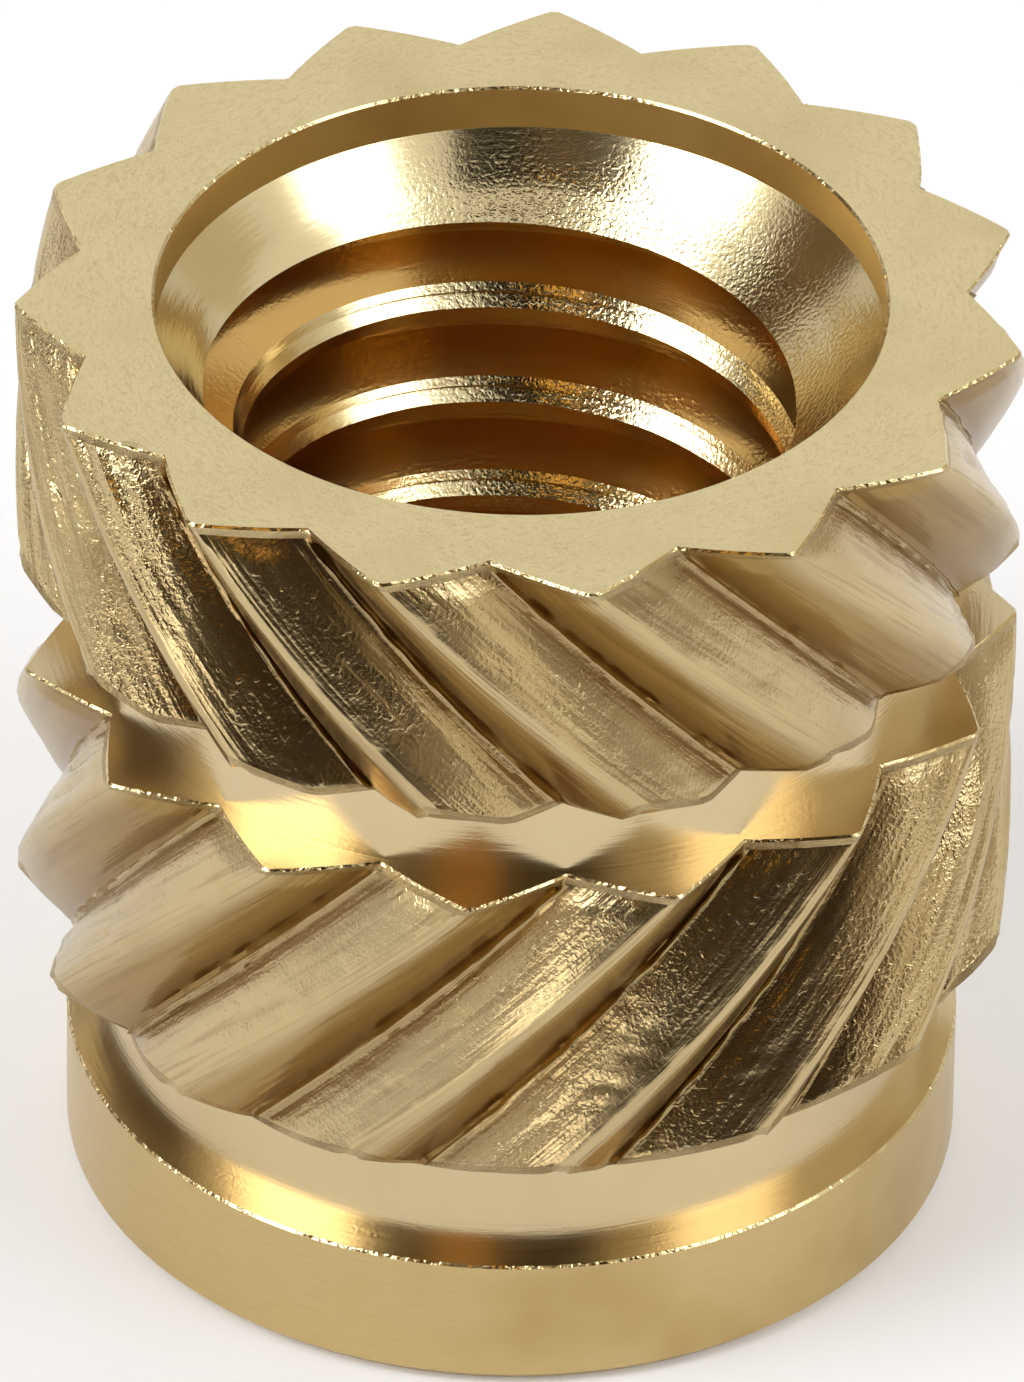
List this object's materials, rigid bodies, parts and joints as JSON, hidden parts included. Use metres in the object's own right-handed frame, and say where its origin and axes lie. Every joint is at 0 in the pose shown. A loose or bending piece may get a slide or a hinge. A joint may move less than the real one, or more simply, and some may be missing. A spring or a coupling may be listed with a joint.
{
  "type": "threaded insert",
  "caption": "Brass threaded insert with a plain pilot, two bands of opposed helical teeth, a plain groove between them and a countersunk tapped bore.",
  "frame": {"origin": "centre of the pilot's end face, on the bore axis", "axes": "+Z along the bore axis, from the pilot towards the countersunk mouth; +X to the right and +Y away when seen from the front"},
  "size_m": [0.006, 0.006, 0.0061],
  "materials": {
    "brass": "bright turned and knurled brass"
  },
  "bodies": {
    "root": {"insert_body": "brass"}
  },
  "joints": []
}
